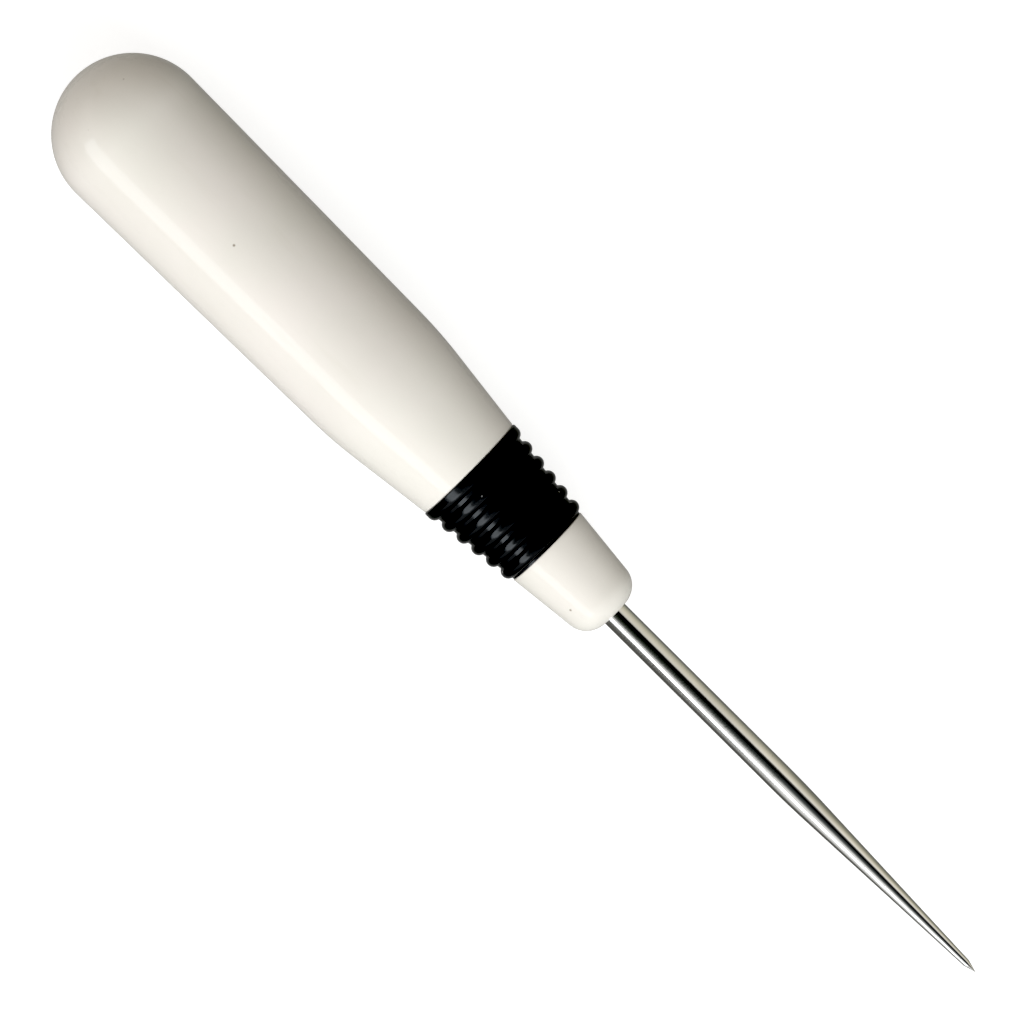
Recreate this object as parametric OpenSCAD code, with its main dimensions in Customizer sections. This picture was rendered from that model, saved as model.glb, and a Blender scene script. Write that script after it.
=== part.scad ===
// Scratch awl: a round steel blade in a smooth two-piece handle with a ribbed rubber ring
// between the pieces. Every piece is round about the X axis, with the point at +X, and the
// origin is halfway along the awl. Units are millimetres.

/* [Overall] */
// Length from the butt to the point
overall_l = 150; // [148:1:160]
// Length of blade that stands out of the nose
blade_out_l = 60.6; // [56:0.1:62]

/* [Handle] */
// Diameter of the round butt, the widest place of the awl
butt_d = 19.2; // [19:0.1:21]
// Diameter where the two tapers of the handle would meet
bend_d = 18.05; // [17:0.05:18.3]
// Distance from that meeting place to the ring
front_taper_l = 13.8; // [12:0.1:18]
// Radius that blends the two tapers
bend_blend_r = 60; // [20:1:80]
// Diameter of the handle's front end, next to the ring
handle_front_d = 14.6; // [14:0.1:15.6]

/* [Grip ring] */
// Length of the rubber ring
grip_l = 12.9; // [12.8:0.1:13.5]
// Number of ribs
rib_count = 6; // [5:1:6]
// Distance from one rib to the next
rib_pitch = 2.2; // [2.1:0.01:2.25]
// Radius of a rib's round back
rib_r = 0.9; // [0.8:0.01:1.1]
// Distance from the ring's rear face to the crest of the first rib
first_rib_from_rear = 0.76; // [0.5:0.02:0.9]
// Diameter over the first rib
first_rib_d = 14.9; // [14.6:0.1:15.4]
// Diameter over the last rib
last_rib_d = 12.4; // [12.2:0.1:13]
// Depth of the grooves below the crests
groove_depth = 0.58; // [0.45:0.01:0.65]

/* [Nose] */
// Length of the nose in front of the ring
nose_l = 11.3; // [9:0.1:11.5]
// Diameter of the nose where it meets the ring
nose_back_d = 11.2; // [11:0.05:11.6]
// Slope of the nose's side
nose_taper = 6; // [4:0.1:6.2]
// Radius of the nose's round front edge
nose_round_r = 3; // [2:0.1:3]
// Diameter of the spigot that carries the ring and is glued into the handle
spigot_d = 9.2; // [8.6:0.1:9.4]
// Length of spigot inside the handle
spigot_in_handle_l = 21; // [18:0.1:24]

/* [Blade] */
// Diameter of the parallel shank
shank_d = 3.3; // [3.1:0.05:3.5]
// Distance from the nose to the place where shank and long taper would meet
taper_from_nose = 30.5; // [26:0.1:32]
// Radius that blends the shank into the long taper
taper_blend_r = 150; // [50:10:200]
// Length of the short bevel at the point
point_l = 1.6; // [1:0.1:2.5]
// Diameter where the short bevel starts
point_d = 0.9; // [0.5:0.05:1]
// Diameter of the tang inside the nose and the handle
tang_d = 2.8; // [2.6:0.05:2.9]
// Length of the tang
tang_l = 60; // [52:1:66]

/* [Hidden] */

// smoothness of the turned surfaces
round_fn = 120;
// angle from one point of a blend to the next: fine for long blends, coarser for the nose's edge
long_blend_step = 0.5;
edge_blend_step = 3;

// depth inside the round butt at which the rear taper starts, so that the two surfaces cross
butt_seam = 0.005;

// small bevels that break the edges of the handle, the nose and the ring's rear shoulder
edge_break = 0.15;

// spigot: glue clearance, glue grooves and the bevel at its inner end
glue_gap = 0.03;
glue_groove_l = 1.2;
glue_groove_depth = 0.35;
glue_groove_count = 3;
glue_groove_pitch = 5;
first_glue_groove = 4;
spigot_bevel = 0.6;

// space left at the bottom of the two bores in the handle
bore_end_gap = 0.5;
pilot_end_gap = 1;
// half of a drill's point angle, which shapes the bottom of each blind bore
drill_half_angle = 59;

// pinched stretch of the tang: its wings hold the blade in the nose
wing_l = 6;
wing_w = 4.2;
wing_t = 2.3;
wing_ramp_l = 1.2;
wing_root_w = 2.4;
wing_in_spigot = 12;
tang_bevel = 0.4;

// how far joined solids of one piece run into each other
join = 1;

// places along the axis
point_x = overall_l / 2;
butt_x = -overall_l / 2;
nose_front_x = point_x - blade_out_l;
nose_back_x = nose_front_x - nose_l;
grip_back_x = nose_back_x - grip_l;
butt_centre_x = butt_x + butt_d / 2;
bend_x = grip_back_x - front_taper_l;
spigot_end_x = grip_back_x - spigot_in_handle_l;
tang_end_x = nose_front_x - tang_l;
wing_x = grip_back_x - wing_in_spigot;

// slopes of the handle: the rear taper leaves the round butt nearly as its tangent
butt_to_bend = bend_x - butt_centre_x;
rear_start_r = butt_d / 2 - butt_seam;
rear_slope = atan2(butt_to_bend, bend_d / 2) - acos(rear_start_r / norm([bend_d / 2, butt_to_bend]));
front_slope = atan2((bend_d - handle_front_d) / 2, front_taper_l);

// slope of the blade's long taper
blade_slope = atan2((shank_d - point_d) / 2, blade_out_l - point_l - taper_from_nose);

// fall of the rib crests from the handle to the nose
crest_fall = (first_rib_d - last_rib_d) / 2 / ((rib_count - 1) * rib_pitch);

// ---- geometry of outlines: [radius, place along the axis] ----

// direction square to a side that slopes inwards by this angle towards the point
function out(slope) = [cos(slope), sin(slope)];

// arc that blends two sides which meet at a corner
function blend(corner, r, slope_a, slope_b, step) =
    let (
        centre = corner - r / cos((slope_b - slope_a) / 2) * out((slope_a + slope_b) / 2),
        steps = ceil((slope_b - slope_a) / step)
    )
    [for (i = [0 : steps]) centre + r * out(slope_a + (slope_b - slope_a) * i / steps)];

// crest radius of the ribs at a place along the axis
function crest_r(x) = first_rib_d / 2 - (x - grip_back_x - first_rib_from_rear) * crest_fall;

// ---- helpers ----

// turns an outline about the awl's axis
module turned() {
    rotate([0, 90, 0])
        rotate_extrude($fn = round_fn)
            children();
}

// the outline between two places along the axis, from the axis outwards
module stretch(from, to) {
    intersection() {
        children();
        translate([0, from])
            square([overall_l, to - from]);
    }
}

// blind bore from a mouth towards the butt, with the cone that a drill leaves
module blind_bore(r, mouth_x, bottom_x) {
    tip_x = bottom_x - r / tan(drill_half_angle);
    polygon([[0, mouth_x], [r, mouth_x], [r, bottom_x], [0, tip_x]]);
}

// ---- blade ----

// the tang behind the nose, pinched flat where its wings stand out
module tang() {
    half_pinch = wing_l / 2;
    half_flat = half_pinch - wing_ramp_l;
    clear = shank_d;
    difference() {
        turned()
            polygon([
                [0, tang_end_x],
                [tang_d / 2 - tang_bevel, tang_end_x],
                [tang_d / 2, tang_end_x + tang_bevel],
                [tang_d / 2, nose_front_x + join],
                [0, nose_front_x + join]
            ]);
        for (side = [-1, 1])
            translate([wing_x, 0, 0])
                rotate([90, 0, 0])
                    linear_extrude(height = 2 * clear, center = true)
                        polygon([
                            [-half_pinch, side * clear],
                            [-half_flat, side * wing_t / 2],
                            [half_flat, side * wing_t / 2],
                            [half_pinch, side * clear]
                        ]);
    }
    translate([wing_x, 0, 0])
        linear_extrude(height = wing_t, center = true)
            polygon([
                [-half_pinch, -wing_root_w / 2],
                [-half_flat, -wing_w / 2],
                [half_flat, -wing_w / 2],
                [half_pinch, -wing_root_w / 2],
                [half_pinch, wing_root_w / 2],
                [half_flat, wing_w / 2],
                [-half_flat, wing_w / 2],
                [-half_pinch, wing_root_w / 2]
            ]);
}

// parallel shank, long taper and short bevelled point
module blade_outline() {
    taper_corner = [shank_d / 2, nose_front_x + taper_from_nose];
    polygon(concat(
        [[0, nose_front_x], [shank_d / 2, nose_front_x]],
        blend(taper_corner, taper_blend_r, 0, blade_slope, long_blend_step),
        [[point_d / 2, point_x - point_l], [0, point_x]]
    ));
}

module blade() {
    color("silver") {
        turned()
            blade_outline();
        tang();
    }
}

// ---- nose ----

// tapered nose with a round front edge around the blade
module nose_tip_outline() {
    back_r = nose_back_d / 2;
    front_corner = [back_r - nose_l * tan(nose_taper), nose_front_x];
    polygon(concat(
        [
            [0, nose_back_x],
            [back_r - edge_break, nose_back_x],
            [back_r - edge_break * tan(nose_taper), nose_back_x + edge_break]
        ],
        blend(front_corner, nose_round_r, nose_taper, 90, edge_blend_step),
        [[0, nose_front_x]]
    ));
}

// spigot through the ring and into the handle, with grooves that hold the glue
module spigot_outline() {
    r = spigot_d / 2;
    difference() {
        polygon([
            [0, spigot_end_x],
            [r - spigot_bevel, spigot_end_x],
            [r, spigot_end_x + spigot_bevel],
            [r, nose_back_x + join],
            [0, nose_back_x + join]
        ]);
        for (i = [0 : glue_groove_count - 1])
            translate([r - glue_groove_depth, grip_back_x - first_glue_groove - i * glue_groove_pitch])
                square([glue_groove_depth + join, glue_groove_l]);
    }
}

module nose() {
    color("ivory")
        difference() {
            turned() {
                nose_tip_outline();
                spigot_outline();
            }
            tang();
        }
}

// ---- grip ring ----

// round ribs on a sleeve that tapers with the handle; the first rib is full up to the handle
module grip_outline() {
    shoulder_r = first_rib_d / 2;
    first_crest_x = grip_back_x + first_rib_from_rear;
    floor_back = shoulder_r - groove_depth;
    floor_front = crest_r(nose_back_x) - groove_depth;
    bore_r = spigot_d / 2;
    polygon([
        [bore_r, grip_back_x],
        [shoulder_r - edge_break, grip_back_x],
        [shoulder_r, grip_back_x + edge_break],
        [shoulder_r, first_crest_x],
        [floor_back, first_crest_x],
        [floor_front, nose_back_x],
        [bore_r, nose_back_x]
    ]);
    difference() {
        stretch(grip_back_x, nose_back_x)
            for (i = [0 : rib_count - 1]) {
                crest_x = grip_back_x + first_rib_from_rear + i * rib_pitch;
                translate([crest_r(crest_x) - rib_r, crest_x])
                    circle(r = rib_r, $fn = round_fn);
            }
        translate([0, grip_back_x])
            square([bore_r, grip_l]);
    }
}

module grip_ring() {
    color([0.08, 0.08, 0.09])
        turned()
            grip_outline();
}

// ---- handle ----

// round butt, long slow taper, and the steeper taper down to the ring
module handle_outline() {
    front_r = handle_front_d / 2;
    stretch(butt_x, butt_centre_x + join)
        translate([0, butt_centre_x])
            circle(d = butt_d, $fn = round_fn);
    polygon(concat(
        [[0, butt_centre_x], [0, butt_centre_x] + rear_start_r * out(rear_slope)],
        blend([bend_d / 2, bend_x], bend_blend_r, rear_slope, front_slope, long_blend_step),
        [
            [front_r + edge_break * tan(front_slope), grip_back_x - edge_break],
            [front_r - edge_break, grip_back_x],
            [0, grip_back_x]
        ]
    ));
}

// solid handle, bored from the front for the spigot and further in for the tang
module handle() {
    color("ivory")
        turned()
            difference() {
                handle_outline();
                blind_bore(spigot_d / 2 + glue_gap, grip_back_x, spigot_end_x - bore_end_gap);
                blind_bore(tang_d / 2 + glue_gap, spigot_end_x, tang_end_x - pilot_end_gap);
            }
}

handle();
grip_ring();
nose();
blade();
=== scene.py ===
import math

import bpy
from mathutils import Matrix, Vector


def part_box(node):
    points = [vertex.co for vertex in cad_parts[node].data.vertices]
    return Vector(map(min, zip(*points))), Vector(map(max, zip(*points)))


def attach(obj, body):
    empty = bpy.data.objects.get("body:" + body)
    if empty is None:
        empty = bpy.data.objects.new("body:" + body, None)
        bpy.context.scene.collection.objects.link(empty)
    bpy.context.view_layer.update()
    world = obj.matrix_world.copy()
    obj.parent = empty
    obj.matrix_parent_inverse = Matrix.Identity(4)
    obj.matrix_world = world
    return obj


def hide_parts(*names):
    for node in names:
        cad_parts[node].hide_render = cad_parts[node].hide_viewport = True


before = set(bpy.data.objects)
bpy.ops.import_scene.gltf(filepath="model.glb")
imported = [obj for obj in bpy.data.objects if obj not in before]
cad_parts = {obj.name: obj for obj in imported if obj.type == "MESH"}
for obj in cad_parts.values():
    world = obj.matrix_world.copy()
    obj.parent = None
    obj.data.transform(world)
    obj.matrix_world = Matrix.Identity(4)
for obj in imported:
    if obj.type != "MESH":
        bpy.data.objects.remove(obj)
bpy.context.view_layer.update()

MM = 0.001


# ---------------------------------------------------------------- places and sizes, in mm
# The awl's axis is X, and the point is at +X. Places along it come from the frame.
def reach(node):
    """Lowest and highest place of a CAD node along the awl."""
    low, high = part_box(node)
    return low[0] / MM, high[0] / MM


BUTT_X, GRIP_BACK_X = reach("handle")
NOSE_BACK_X = reach("grip_ring")[1]
SPIGOT_END_X, NOSE_FRONT_X = reach("nose")
TANG_END_X, POINT_X = reach("blade")

# The other sizes repeat the CAD's own driving dimensions.
BUTT_R = 9.6
BEND_X, BEND_R, BEND_BLEND_R = GRIP_BACK_X - 13.8, 9.025, 60.0
HANDLE_FRONT_R = 7.3
RIB_COUNT, RIB_PITCH, RIB_R = 6, 2.2, 0.9
FIRST_RIB_X = GRIP_BACK_X + 0.76
FIRST_RIB_CREST_R, LAST_RIB_CREST_R, GROOVE_DEPTH = 7.45, 6.2, 0.58
NOSE_BACK_R, NOSE_TAPER, NOSE_ROUND_R = 5.6, 6.0, 3.0
SHANK_R, TAPER_X, TAPER_BLEND_R = 1.65, NOSE_FRONT_X + 30.5, 150.0
POINT_L, POINT_R = 1.6, 0.45
SPIGOT_R, SPIGOT_BEVEL = 4.6, 0.6
GLUE_GAP = 0.03
GLUE_GROOVE_L, GLUE_GROOVE_DEPTH, GLUE_GROOVE_COUNT, GLUE_GROOVE_PITCH = 1.2, 0.35, 3, 5.0
FIRST_GLUE_GROOVE_X = GRIP_BACK_X - 4
BORE_END_GAP, PILOT_END_GAP = 0.5, 1.0
DRILL_COT = 1 / math.tan(math.radians(59))
TANG_R, TANG_BEVEL = 1.4, 0.4
WING_X, WING_HALF_L, WING_RAMP_L = GRIP_BACK_X - 12, 3.0, 1.2
# width and thickness of the pinched tang, as shares of the round tang's diameter
WING_SPREAD, WING_PINCH = 1.5, 0.821
EDGE_BREAK = 0.15
# edges that turn by more than this, in degrees, are shaded sharp
SHARP_ANGLE = 24
# points that round a broken edge: distance from the face, and drop below the side
EDGE_ROUND = ((0.1, 0.02), (0.04, 0.06))
MOUTH_BEVEL = 0.12
# a point of an outline that is nearer to the axis than this lies on it
ON_AXIS_R = 1e-6
# points of the nose nearer to the axis than this belong to the tang's hole
IN_HOLE_R = TANG_R + 0.01


# ---------------------------------------------------------------- outlines: (x, r) in mm
def out(slope):
    """Direction square to a side that slopes inwards by this angle towards the point."""
    a = math.radians(slope)
    return math.sin(a), math.cos(a)


def arc(cx, cr, r, a0, a1, steps):
    """Points on an arc about (cx, cr); angles from the outward radius towards the point."""
    pts = []
    for i in range(steps + 1):
        dx, dr = out(a0 + (a1 - a0) * i / steps)
        pts.append((cx + r * dx, cr + r * dr))
    return pts


def blend(corner, r, slope_a, slope_b, steps):
    """Arc that blends two sides which meet at a corner."""
    dx, dr = out((slope_a + slope_b) / 2)
    to_centre = r / math.cos(math.radians((slope_b - slope_a) / 2))
    return arc(corner[0] - to_centre * dx, corner[1] - to_centre * dr, r, slope_a, slope_b, steps)


def fill(points, spacing):
    """Adds points along straight stretches, so that smooth shading stays true on them."""
    made = [points[0]]
    for (x0, r0), (x1, r1) in zip(points, points[1:]):
        n = max(1, int(math.hypot(x1 - x0, r1 - r0) / spacing))
        made += [(x0 + (x1 - x0) * i / n, r0 + (r1 - r0) * i / n) for i in range(1, n + 1)]
    return made


def soften(points, passes):
    """Rounds the corners of a dense outline by averaging each point with its neighbours."""
    for _ in range(passes):
        inner = [
            ((a[0] + 2 * b[0] + c[0]) / 4, (a[1] + 2 * b[1] + c[1]) / 4)
            for a, b, c in zip(points, points[1:], points[2:])
        ]
        points = [points[0], *inner, points[-1]]
    return points


def broken_edge(face_x, r, inwards, rise):
    """Round edge from a side to a flat face; inwards is the sign of X from the face into the piece."""
    side = (face_x + inwards * EDGE_BREAK, r + rise)
    rounding = [(face_x + inwards * back, r - drop) for back, drop in EDGE_ROUND]
    return [side, *rounding, (face_x, r - EDGE_BREAK)]


# ---------------------------------------------------------------- mesh making
def turned(name, profile, around, closed=False, shape=None):
    """A piece turned about the awl's axis; shape may move the points of a round section."""
    verts, faces, rings = [], [], []
    for x, r in profile:
        if r < ON_AXIS_R:
            rings.append([len(verts)])
            verts.append((x * MM, 0, 0))
            continue
        ring = []
        for k in range(around):
            a = 2 * math.pi * k / around
            y, z = r * math.sin(a), r * math.cos(a)
            if shape:
                y, z = shape(x, y, z)
            ring.append(len(verts))
            verts.append((x * MM, y * MM, z * MM))
        rings.append(ring)
    pairs = list(zip(rings, rings[1:]))
    if closed:
        pairs.append((rings[-1], rings[0]))
    for a, b in pairs:
        for k in range(around):
            m = (k + 1) % around
            if len(a) == 1:
                faces.append((a[0], b[k], b[m]))
            elif len(b) == 1:
                faces.append((a[k], b[0], a[m]))
            else:
                faces.append((a[k], b[k], b[m], a[m]))
    mesh = bpy.data.meshes.new(name)
    mesh.from_pydata(verts, [], faces)
    mesh.validate()
    mesh.shade_smooth()
    mesh.set_sharp_from_angle(angle=math.radians(SHARP_ANGLE))
    obj = bpy.data.objects.new(name, mesh)
    bpy.context.scene.collection.objects.link(obj)
    return obj


def pinched(x, y, z):
    """Flattens the tang in height and spreads it sideways where its wings are."""
    ramp = (WING_HALF_L - abs(x - WING_X)) / WING_RAMP_L
    t = min(1.0, max(0.0, ramp))
    t = t * t * (3 - 2 * t)
    return y * (1 + (WING_SPREAD - 1) * t), z * (1 + (WING_PINCH - 1) * t)


def pinched_hole(x, y, z):
    """In the nose, only the hole follows the pinched tang."""
    return pinched(x, y, z) if math.hypot(y, z) < IN_HOLE_R else (y, z)


# ---------------------------------------------------------------- the four pieces
def make_handle():
    """Round butt, long slow taper, steeper taper to the ring, and the two blind bores."""
    butt_centre_x = BUTT_X + BUTT_R
    to_bend = math.hypot(BEND_R, BEND_X - butt_centre_x)
    bend_angle = math.degrees(math.atan2(BEND_X - butt_centre_x, BEND_R))
    rear_slope = bend_angle - math.degrees(math.acos(BUTT_R / to_bend))
    front_rise = (BEND_R - HANDLE_FRONT_R) / (GRIP_BACK_X - BEND_X)
    front_slope = math.degrees(math.atan(front_rise))
    butt = arc(butt_centre_x, 0, BUTT_R, -90, rear_slope, steps=90)
    outside = [(BUTT_X, 0), *butt[1:]]
    outside += blend((BEND_X, BEND_R), BEND_BLEND_R, rear_slope, front_slope, steps=24)
    outside += broken_edge(GRIP_BACK_X, HANDLE_FRONT_R, -1, EDGE_BREAK * front_rise)
    bore, pilot = SPIGOT_R + GLUE_GAP, TANG_R + GLUE_GAP
    bottom, end = SPIGOT_END_X - BORE_END_GAP, TANG_END_X - PILOT_END_GAP
    inside = [
        (GRIP_BACK_X, bore),
        (bottom, bore),
        (bottom - (bore - pilot) * DRILL_COT, pilot),
        (end, pilot),
        (end - pilot * DRILL_COT, 0),
    ]
    return turned("handle_body", fill(outside, spacing=0.7) + fill(inside, spacing=4), around=192)


def crest_r(x):
    """Radius over the ribs, which falls towards the nose."""
    fall = (FIRST_RIB_CREST_R - LAST_RIB_CREST_R) / ((RIB_COUNT - 1) * RIB_PITCH)
    return FIRST_RIB_CREST_R - (x - FIRST_RIB_X) * fall


def grip_r(x):
    """Outside radius of the ring: grooves, ribs, and the full shoulder at the handle."""
    r = crest_r(x) - GROOVE_DEPTH if x > FIRST_RIB_X else FIRST_RIB_CREST_R
    from_edge = (x - GRIP_BACK_X) / EDGE_BREAK
    if from_edge < 1:
        r -= EDGE_BREAK * (1 - math.sqrt(max(0.0, 1 - (1 - from_edge) ** 2)))
    for k in range(RIB_COUNT):
        crest_x = FIRST_RIB_X + k * RIB_PITCH
        if abs(x - crest_x) < RIB_R:
            r = max(r, crest_r(crest_x) - RIB_R + math.sqrt(RIB_R**2 - (x - crest_x) ** 2))
    return r


def make_ring():
    """Rubber sleeve with round ribs, softened where ribs and grooves meet."""
    steps = 780
    places = [GRIP_BACK_X + (NOSE_BACK_X - GRIP_BACK_X) * i / steps for i in range(steps + 1)]
    outside = soften([(x, grip_r(x)) for x in places], passes=8)[::2]
    front_face = fill([outside[-1], (NOSE_BACK_X, SPIGOT_R)], spacing=0.4)[1:-1]
    bore = fill([(NOSE_BACK_X, SPIGOT_R), (GRIP_BACK_X, SPIGOT_R)], spacing=2)
    rear_face = fill([(GRIP_BACK_X, SPIGOT_R), outside[0]], spacing=0.6)[1:-1]
    return turned("grip_sleeve", outside + front_face + bore + rear_face, around=224, closed=True)


def make_nose():
    """Tapered nose with a round front edge, its spigot with glue grooves, and the tang's hole."""
    taper = math.tan(math.radians(NOSE_TAPER))
    profile = [
        (SPIGOT_END_X, TANG_R),
        (SPIGOT_END_X, SPIGOT_R - SPIGOT_BEVEL),
        (SPIGOT_END_X + SPIGOT_BEVEL, SPIGOT_R),
    ]
    for i in reversed(range(GLUE_GROOVE_COUNT)):
        rear = FIRST_GLUE_GROOVE_X - i * GLUE_GROOVE_PITCH
        front = rear + GLUE_GROOVE_L
        bottom = SPIGOT_R - GLUE_GROOVE_DEPTH
        profile += [(rear, SPIGOT_R), (rear, bottom), (front, bottom), (front, SPIGOT_R)]
    profile += [(NOSE_BACK_X, SPIGOT_R)]
    profile += reversed(broken_edge(NOSE_BACK_X, NOSE_BACK_R, 1, -EDGE_BREAK * taper))
    front_corner = (NOSE_FRONT_X, NOSE_BACK_R - (NOSE_FRONT_X - NOSE_BACK_X) * taper)
    profile += blend(front_corner, NOSE_ROUND_R, NOSE_TAPER, 90, steps=64)
    mouth = (NOSE_FRONT_X - MOUTH_BEVEL, TANG_R)
    profile += [(NOSE_FRONT_X, TANG_R + MOUTH_BEVEL), mouth]
    hole = fill([mouth, (SPIGOT_END_X, TANG_R)], spacing=0.6)[1:-1]
    profile = fill(profile, spacing=0.6) + hole
    return turned("nose_cap", profile, around=160, closed=True, shape=pinched_hole)


def make_blade():
    """Pinched tang, parallel shank, long taper and the short cone at the point."""
    slope = math.degrees(math.atan2(SHANK_R - POINT_R, POINT_X - POINT_L - TAPER_X))
    tang = [
        (TANG_END_X, 0),
        (TANG_END_X, TANG_R - TANG_BEVEL),
        (TANG_END_X + TANG_BEVEL, TANG_R),
        (NOSE_FRONT_X, TANG_R),
    ]
    shank = [(NOSE_FRONT_X, SHANK_R)]
    shank += blend((TAPER_X, SHANK_R), TAPER_BLEND_R, 0, slope, steps=30)
    shank += [(POINT_X - POINT_L, POINT_R), (POINT_X, 0)]
    profile = fill(tang, spacing=0.5) + fill(shank, spacing=0.35)
    return turned("blade_polished", profile, around=128, shape=pinched)


# ---------------------------------------------------------------- nodes
class Tree:
    """Small helper that adds nodes to a node tree and links them."""

    def __init__(self, tree):
        self.tree = tree

    def put(self, value, socket):
        """Links an output to the socket, or sets the socket to a plain value."""
        if isinstance(value, bpy.types.NodeSocket):
            self.tree.links.new(value, socket)
        elif socket.type == "RGBA" and len(value) == 3:
            socket.default_value = (*value, 1)
        else:
            socket.default_value = value

    def node(self, kind, inputs=None, **settings):
        """Adds a node, with its settings first and then its inputs by name or number."""
        made = self.tree.nodes.new("ShaderNode" + kind)
        for name, value in settings.items():
            setattr(made, name, value)
        for socket, value in (inputs or {}).items():
            self.put(value, made.inputs[socket])
        return made

    def spread(self, value, source, target=(0, 1)):
        """Maps one range of numbers to another."""
        inputs = {"Value": value}
        inputs["From Min"], inputs["From Max"] = source
        inputs["To Min"], inputs["To Max"] = target
        return self.node("MapRange", inputs).outputs["Result"]

    def maths(self, operation, a, b):
        return self.node("Math", {0: a, 1: b}, operation=operation).outputs["Value"]

    def colours(self, factor, a, b):
        """From colour a at factor 0 to colour b at factor 1."""
        mix = self.node("Mix", {0: factor}, data_type="RGBA")
        for socket, colour in zip([s for s in mix.inputs if s.type == "RGBA"], (a, b)):
            self.put(colour, socket)
        return next(s for s in mix.outputs if s.type == "RGBA")

    def shaders(self, factor, a, b):
        """Shader a where factor is 0, shader b where it is 1."""
        return self.node("MixShader", {0: factor, 1: a, 2: b}).outputs[0]

    def bands(self, stops, share, low, high):
        """Colour ramp; stops are (place, colour) pairs, where share is 0 at low and 1 at high."""
        ramp = self.node("ValToRGB", {"Fac": share})
        elements = ramp.color_ramp.elements
        while len(elements) > 1:
            elements.remove(elements[-1])
        elements[0].position = 0
        elements[0].color = (*stops[0][1], 1)
        for place, colour in stops[1:]:
            elements.new((place - low) / (high - low)).color = (*colour, 1)
        return ramp.outputs["Color"]


class Material(Tree):
    """A material's nodes, with textures placed in the object's own space."""

    def __init__(self, name):
        self.mat = bpy.data.materials.new(name)
        self.mat.use_nodes = True
        super().__init__(self.mat.node_tree)
        self.shader = self.tree.nodes["Principled BSDF"]
        self.place = self.node("TexCoord").outputs["Object"]

    def scaled(self, scale=(1, 1, 1), shift=(0, 0, 0)):
        inputs = {"Vector": self.place, "Scale": scale, "Location": shift}
        return self.node("Mapping", inputs).outputs["Vector"]

    def noise(self, vector, scale, detail, rough):
        inputs = {"Vector": vector, "Scale": scale, "Detail": detail, "Roughness": rough}
        return self.node("TexNoise", inputs).outputs["Fac"]

    def specks(self, vector, scale, edge, chosen):
        """Small round spots in a few cells: edge is the radius that fades, chosen picks the cells."""
        cells = self.node("TexVoronoi", {"Vector": vector, "Scale": scale}).outputs
        spot = self.spread(cells["Distance"], edge, (1, 0))
        return self.maths("MULTIPLY", spot, self.spread(cells["Color"], chosen))

    def bump(self, height, distance, strength=1.0, after=None):
        """Bump whose full height is a distance in metres, on top of another bump if one is given."""
        inputs = {"Height": height, "Distance": distance, "Strength": strength}
        if after is not None:
            inputs["Normal"] = after
        return self.node("Bump", inputs).outputs["Normal"]

    def give(self, **values):
        """Puts values on the shader; an underscore stands for a space in a socket's name."""
        for socket, value in values.items():
            self.put(value, self.shader.inputs[socket.replace("_", " ")])


# ---------------------------------------------------------------- materials
IVORY_STREAK = (0.76, 0.72, 0.64)
IVORY_PIT = (0.36, 0.32, 0.26)
RUBBER_DARK, RUBBER_BLOOM = (0.003, 0.0035, 0.004), (0.008, 0.009, 0.0105)
RUBBER_DUST = (0.55, 0.54, 0.53)
STEEL_DULL, STEEL_BRIGHT = (0.70, 0.70, 0.69), (0.80, 0.795, 0.78)
STEEL_LINE = (0.5, 0.5, 0.49)
STEEL_FLECK = (0.06, 0.06, 0.055)


def ivory_plastic(name, pale, dark, shift=(0, 0, 0)):
    """Polished ivory plastic: faint clouding, buffing streaks, a few pits, under a thin gloss."""
    n = Material(name)
    place = n.scaled(shift=shift)
    cloud = n.noise(place, scale=70, detail=4, rough=0.55)
    fine = n.noise(place, scale=1400, detail=2, rough=0.6)
    streak = n.noise(n.scaled((0.12, 1, 1), shift), scale=420, detail=3, rough=0.6)
    pit = n.specks(place, scale=150, edge=(0.012, 0.032), chosen=(0.40, 0.42))
    base = n.colours(n.spread(cloud, (0.3, 0.7)), dark, pale)
    base = n.colours(n.spread(streak, (0.62, 0.8), (0, 0.35)), base, IVORY_STREAK)
    buffed = n.spread(streak, (0.35, 0.75), (0.24, 0.36))
    skin = n.bump(fine, 0.004 * MM, 0.6, after=n.bump(cloud, 0.06 * MM))
    n.give(
        Base_Color=n.colours(pit, base, IVORY_PIT),
        Roughness=n.maths("ADD", buffed, n.spread(fine, (0.4, 0.8), (0, 0.05))),
        IOR=1.5,
        Specular_IOR_Level=0.04,
        Coat_Weight=0.4,
        Coat_Roughness=0.02,
        Coat_IOR=1.45,
        Normal=n.bump(pit, -0.05 * MM, 0.8, after=skin),
        Coat_Normal=n.bump(cloud, 0.03 * MM),
    )
    return n.mat


def black_rubber():
    """Smooth moulded black rubber with a faint bloom, fine skin texture and dust."""
    n = Material("moulded_black_rubber")
    place = n.scaled()
    cloud = n.noise(place, scale=160, detail=4, rough=0.6)
    fine = n.noise(place, scale=2600, detail=3, rough=0.6)
    dust = n.specks(place, scale=260, edge=(0.03, 0.07), chosen=(0.40, 0.42))
    base = n.colours(n.spread(cloud, (0.35, 0.7)), RUBBER_DARK, RUBBER_BLOOM)
    bloom = n.spread(cloud, (0.3, 0.75), (0.12, 0.2))
    n.give(
        Base_Color=n.colours(dust, base, RUBBER_DUST),
        Roughness=n.maths("ADD", bloom, n.spread(fine, (0.45, 0.8), (0, 0.05))),
        IOR=1.5,
        Specular_IOR_Level=0.27,
        Normal=n.bump(fine, 0.002 * MM, 0.7, after=n.bump(cloud, 0.02 * MM)),
    )
    return n.mat


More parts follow.
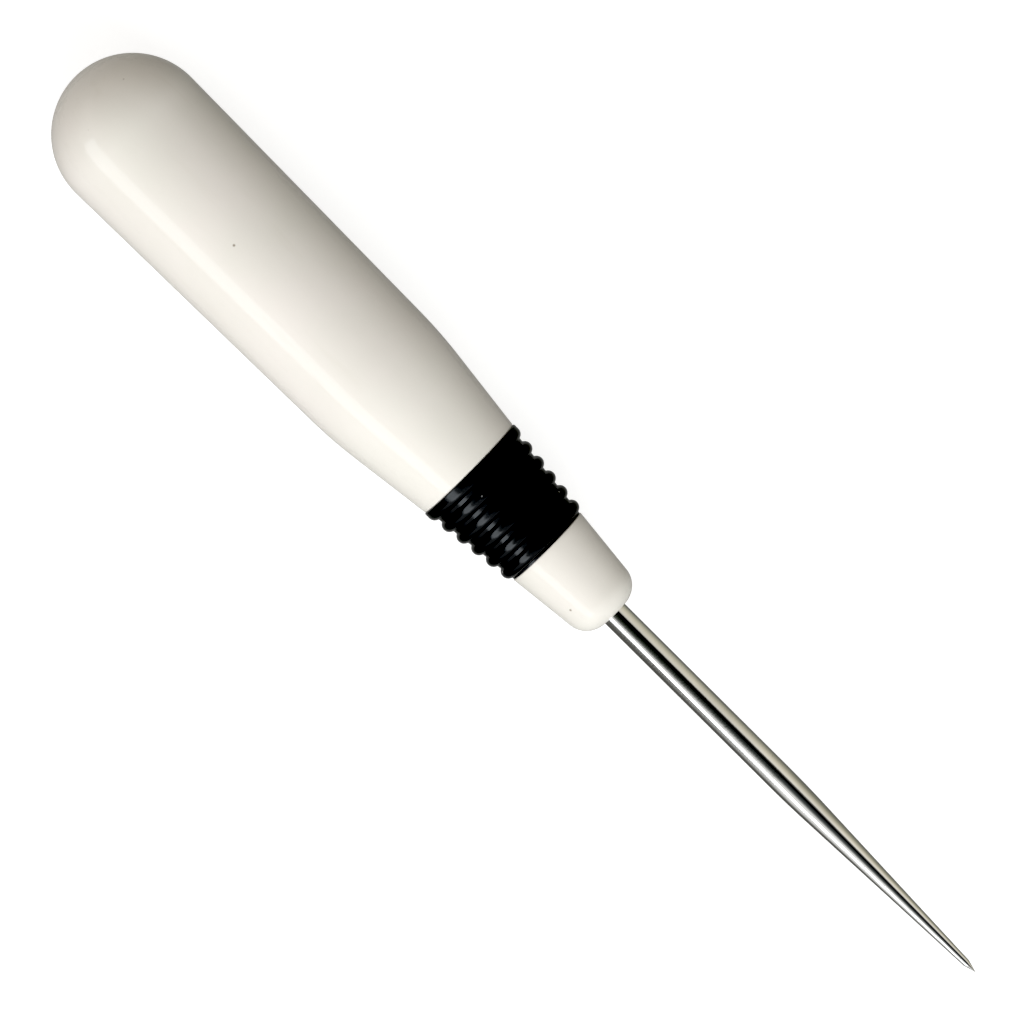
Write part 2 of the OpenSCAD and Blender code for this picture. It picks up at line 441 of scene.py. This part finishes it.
def polished_steel():
    """Mirror-polished steel: drawn and ground lines, faint clouding, grain and dark flecks."""
    n = Material("polished_blade_steel")
    place = n.scaled()
    cloud = n.noise(place, scale=220, detail=4, rough=0.6)
    drawn = n.noise(n.scaled((0.015, 1, 1)), scale=5200, detail=3, rough=0.7)
    ground = n.noise(n.scaled((1, 0.05, 0.05)), scale=3800, detail=2, rough=0.6)
    grain = n.noise(place, scale=4200, detail=2, rough=0.6)
    fleck = n.specks(place, scale=300, edge=(0.04, 0.09), chosen=(0.66, 0.68))
    base = n.colours(n.spread(cloud, (0.35, 0.7)), STEEL_DULL, STEEL_BRIGHT)
    base = n.colours(n.spread(drawn, (0.6, 0.8), (0, 0.3)), base, STEEL_LINE)
    lines = n.spread(drawn, (0.35, 0.8), (0.03, 0.09))
    lined = n.bump(drawn, 0.0008 * MM, 0.8, after=n.bump(cloud, 0.01 * MM))
    n.give(
        Base_Color=n.colours(fleck, base, STEEL_FLECK),
        Metallic=1.0,
        Roughness=n.maths("ADD", lines, n.spread(ground, (0.55, 0.8), (0, 0.03))),
        Normal=n.bump(grain, 0.004 * MM, 0.8, after=lined),
    )
    return n.mat


# ---------------------------------------------------------------- stage: floor, light, surroundings
# half the floor's width in m, and how far the floor lies below the handle in mm
FLOOR_HALF, FLOOR_GAP = 3.0, 0.25
FLOOR_GLOW, FLOOR_GLOW_COLOUR = 0.77, (1.0, 1.0, 0.995)
FLOOR_DARK, FLOOR_PALE = (0.44, 0.44, 0.44), (0.46, 0.46, 0.46)
# what the floor throws back on the awl
FLOOR_BOUNCE = (0.52, 0.54, 0.54)
WALL = (0.95, 0.95, 0.945)
# soft light of the room by side, from -Y to +Y
ROOM_SOFT = (
    (-1, (0.915, 0.90, 0.92)),
    (0, (0.50, 0.472, 0.435)),
    (1, (0.015, 0.008, 0.0)),
)
ROOM_SOFT_STRENGTH = 1.3
# what the awl mirrors in each direction round its axis: degrees from overhead, minus towards -Y;
# low down the room is the same all along the awl, and higher up its two halves differ
ROOM_LOW_MINUS_Y = (
    (-180, (0.30, 0.30, 0.295)),
    (-156, (0.26, 0.26, 0.25)),
    (-146, (0.12, 0.12, 0.11)),
)
ROOM_LOW_PLUS_Y = (
    (146, (0.14, 0.14, 0.13)),
    (158, (0.26, 0.26, 0.25)),
)
ROOM_BUTT_SIDE = (
    (-93, (0.14, 0.14, 0.13)),
    (-79, (0.20, 0.20, 0.19)),
    (-69, (0.85, 0.85, 0.84)),
    (-42, (0.97, 0.97, 0.96)),
    (-31, (0.55, 0.55, 0.54)),
    (-26, (0.16, 0.17, 0.155)),
    (-14, (0.07, 0.076, 0.067)),
    (-4, (0.035, 0.04, 0.033)),
    (5, (0.03, 0.032, 0.029)),
    (14, (0.018, 0.018, 0.017)),
    (35, (0.02, 0.02, 0.018)),
    (40, (0.60, 0.58, 0.53)),
    (50, (0.80, 0.77, 0.68)),
    (71, (0.79, 0.74, 0.61)),
    (87, (0.65, 0.62, 0.49)),
    (106, (0.47, 0.455, 0.37)),
    (130, (0.22, 0.22, 0.19)),
)
ROOM_TIP_SIDE = (
    (-118, (0.14, 0.14, 0.13)),
    (-106, (0.45, 0.45, 0.44)),
    (-92, (0.85, 0.85, 0.84)),
    (-82, (0.97, 0.97, 0.96)),
    (-30, (0.97, 0.97, 0.96)),
    (-22, (0.50, 0.51, 0.50)),
    (-10, (0.13, 0.14, 0.138)),
    (5, (0.06, 0.066, 0.068)),
    (16, (0.022, 0.022, 0.024)),
    (27, (0.04, 0.04, 0.04)),
    (35, (0.17, 0.165, 0.155)),
    (43, (0.92, 0.89, 0.82)),
    (60, (0.88, 0.83, 0.70)),
    (75, (0.66, 0.62, 0.50)),
    (100, (0.34, 0.33, 0.26)),
    (130, (0.20, 0.20, 0.17)),
)
# X of the direction over which the butt's side of the room passes into the tip's side
TIP_SIDE_FROM, TIP_SIDE_TO = 0.085, 0.14
# light below this level comes out black, for the contrast of a product picture
BLACK_LEVEL = 0.026
RAY_KINDS = ("camera", "diffuse", "glossy", "transmission", "shadow", "volume_scatter")

# the camera looks almost straight down, a little from the butt's side, with the awl on the diagonal
CAMERA_TILT, CAMERA_TURN = 3.2, 44.826
CAMERA_AIM = Vector((-2.631, -0.055, 0)) * MM
VIEW_W = 120.7 * MM
LENS, SENSOR_W = 200, 36
CLIP_START, CLIP_END = 0.01, 20


def plain_floor():
    """Pale matt floor with a faint grain; the awl doesn't mirror it and gets little light from it."""
    n = Material("pale_floor")
    grain = n.noise(n.scaled(), scale=900, detail=3, rough=0.6)
    n.give(
        Base_Color=n.colours(grain, FLOOR_DARK, FLOOR_PALE),
        Roughness=0.9,
        Specular_IOR_Level=0.0,
        Emission_Color=FLOOR_GLOW_COLOUR,
        Emission_Strength=FLOOR_GLOW,
    )
    dull = n.node("BsdfDiffuse", {"Color": FLOOR_BOUNCE}).outputs[0]
    bounced = n.node("LightPath").outputs["Is Diffuse Ray"]
    surface = n.tree.nodes["Material Output"].inputs["Surface"]
    n.put(n.shaders(bounced, n.shader.outputs[0], dull), surface)
    mesh = bpy.data.meshes.new("floor")
    z = -(BUTT_R + FLOOR_GAP) * MM
    signs = ((-1, -1), (1, -1), (1, 1), (-1, 1))
    mesh.from_pydata([(FLOOR_HALF * x, FLOOR_HALF * y, z) for x, y in signs], [], [(0, 1, 2, 3)])
    mesh.materials.append(n.mat)
    floor = bpy.data.objects.new("floor", mesh)
    bpy.context.scene.collection.objects.link(floor)
    for kind in RAY_KINDS:
        setattr(floor, "visible_" + kind, kind in ("camera", "diffuse", "shadow"))


def surroundings():
    """A room in bands for mirrored rays, a soft slope for dull ones, a pale wall for the camera."""
    world = bpy.data.worlds.new("studio")
    bpy.context.scene.world = world
    world.use_nodes = True
    world.node_tree.nodes.clear()
    n = Tree(world.node_tree)
    direction = n.node("SeparateXYZ", {0: n.node("TexCoord").outputs["Generated"]}).outputs
    angle = n.maths("ARCTAN2", direction["Y"], direction["Z"])
    share = n.spread(angle, (-math.pi, math.pi))
    butt_side, tip_side = (
        n.bands(ROOM_LOW_MINUS_Y + side + ROOM_LOW_PLUS_Y, share, -180, 180)
        for side in (ROOM_BUTT_SIDE, ROOM_TIP_SIDE)
    )
    towards_tip = n.spread(direction["X"], (TIP_SIDE_FROM, TIP_SIDE_TO))
    sideways = n.spread(direction["Y"], (-1, 1))
    mirrored = n.node("Background", {"Color": n.colours(towards_tip, butt_side, tip_side)})
    soft_colour = n.bands(ROOM_SOFT, sideways, -1, 1)
    soft = n.node("Background", {"Color": soft_colour, "Strength": ROOM_SOFT_STRENGTH})
    wall = n.node("Background", {"Color": WALL})
    rays = n.node("LightPath").outputs
    seen = n.shaders(rays["Is Glossy Ray"], soft.outputs[0], mirrored.outputs[0])
    seen = n.shaders(rays["Is Camera Ray"], seen, wall.outputs[0])
    n.node("OutputWorld", {"Surface": seen})


def standing(place, x_axis, y_axis, z_axis):
    """World matrix of something at a place, from its three axes."""
    return Matrix.Translation(place) @ Matrix((x_axis, y_axis, z_axis)).transposed().to_4x4()


def softbox(name, towards, distance, along, across, radiance, colour, mirrored):
    """A rectangular softbox with its long side along X, seen in mirrored or in dull rays only."""
    data = bpy.data.lights.new(name, "AREA")
    data.shape = "RECTANGLE"
    data.size, data.size_y = along[1] - along[0], across
    data.energy = radiance * math.pi * data.size * data.size_y
    data.color = colour
    lamp = bpy.data.objects.new(name, data)
    bpy.context.scene.collection.objects.link(lamp)
    back = Vector(towards).normalized()
    side = (Vector((1, 0, 0)) - back * back.x).normalized()
    place = Vector((sum(along) / 2, 0, 0)) + back * distance
    lamp.matrix_world = standing(place, side, back.cross(side), back)
    lamp.visible_glossy = mirrored
    lamp.visible_diffuse = not mirrored


def camera():
    """The scene's camera, at the places and angles above."""
    tilt, turn = math.radians(CAMERA_TILT), math.radians(CAMERA_TURN)
    view = Vector((-math.sin(tilt), 0, math.cos(tilt)))
    along = Vector((math.cos(tilt), 0, math.sin(tilt)))
    across = Vector((0, 1, 0))
    right = along * math.cos(turn) + across * math.sin(turn)
    up = across * math.cos(turn) - along * math.sin(turn)
    data = bpy.data.cameras.new("camera")
    data.sensor_width = SENSOR_W
    data.lens = LENS
    data.clip_start = CLIP_START
    data.clip_end = CLIP_END
    cam = bpy.data.objects.new("camera", data)
    bpy.context.scene.collection.objects.link(cam)
    cam.matrix_world = standing(CAMERA_AIM + view * VIEW_W * LENS / SENSOR_W, right, up, view)
    bpy.context.scene.camera = cam


# ---------------------------------------------------------------- put it together
HANDLE_IVORY = ivory_plastic(
    "ivory_plastic_handle", pale=(0.835, 0.792, 0.735), dark=(0.80, 0.774, 0.705)
)
NOSE_IVORY = ivory_plastic(
    "ivory_plastic_nose",
    pale=(0.81, 0.768, 0.71),
    dark=(0.775, 0.75, 0.68),
    shift=(0.3, 0.1, 0),
)
PIECES = (
    (make_handle, "handle", "handle_plastic", HANDLE_IVORY),
    (make_ring, "grip_ring", "ring_rubber", black_rubber()),
    (make_nose, "nose", "nose_plastic", NOSE_IVORY),
    (make_blade, "blade", "blade_steel", polished_steel()),
)
for make, node_name, slot_name, material in PIECES:
    piece = make()
    piece.data.materials.append(material)
    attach(piece, "root")
    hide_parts(node_name)

plain_floor()
surroundings()
softbox(
    "strip_softbox",
    towards=(0, -0.859, 0.512),
    distance=0.5,
    along=(-0.38, 0.42),
    across=0.19,
    radiance=4.2,
    colour=(0.86, 0.94, 1),
    mirrored=True,
)
softbox(
    "key_softbox",
    towards=(0.60, -0.26, 0.76),
    distance=0.55,
    along=(-0.22, 0.22),
    across=0.44,
    radiance=3.4,
    colour=(0.88, 0.95, 1),
    mirrored=False,
)
camera()
looks = bpy.context.scene.view_settings
looks.view_transform = "Standard"
looks.use_curve_mapping = True
looks.curve_mapping.black_level = (BLACK_LEVEL,) * 3
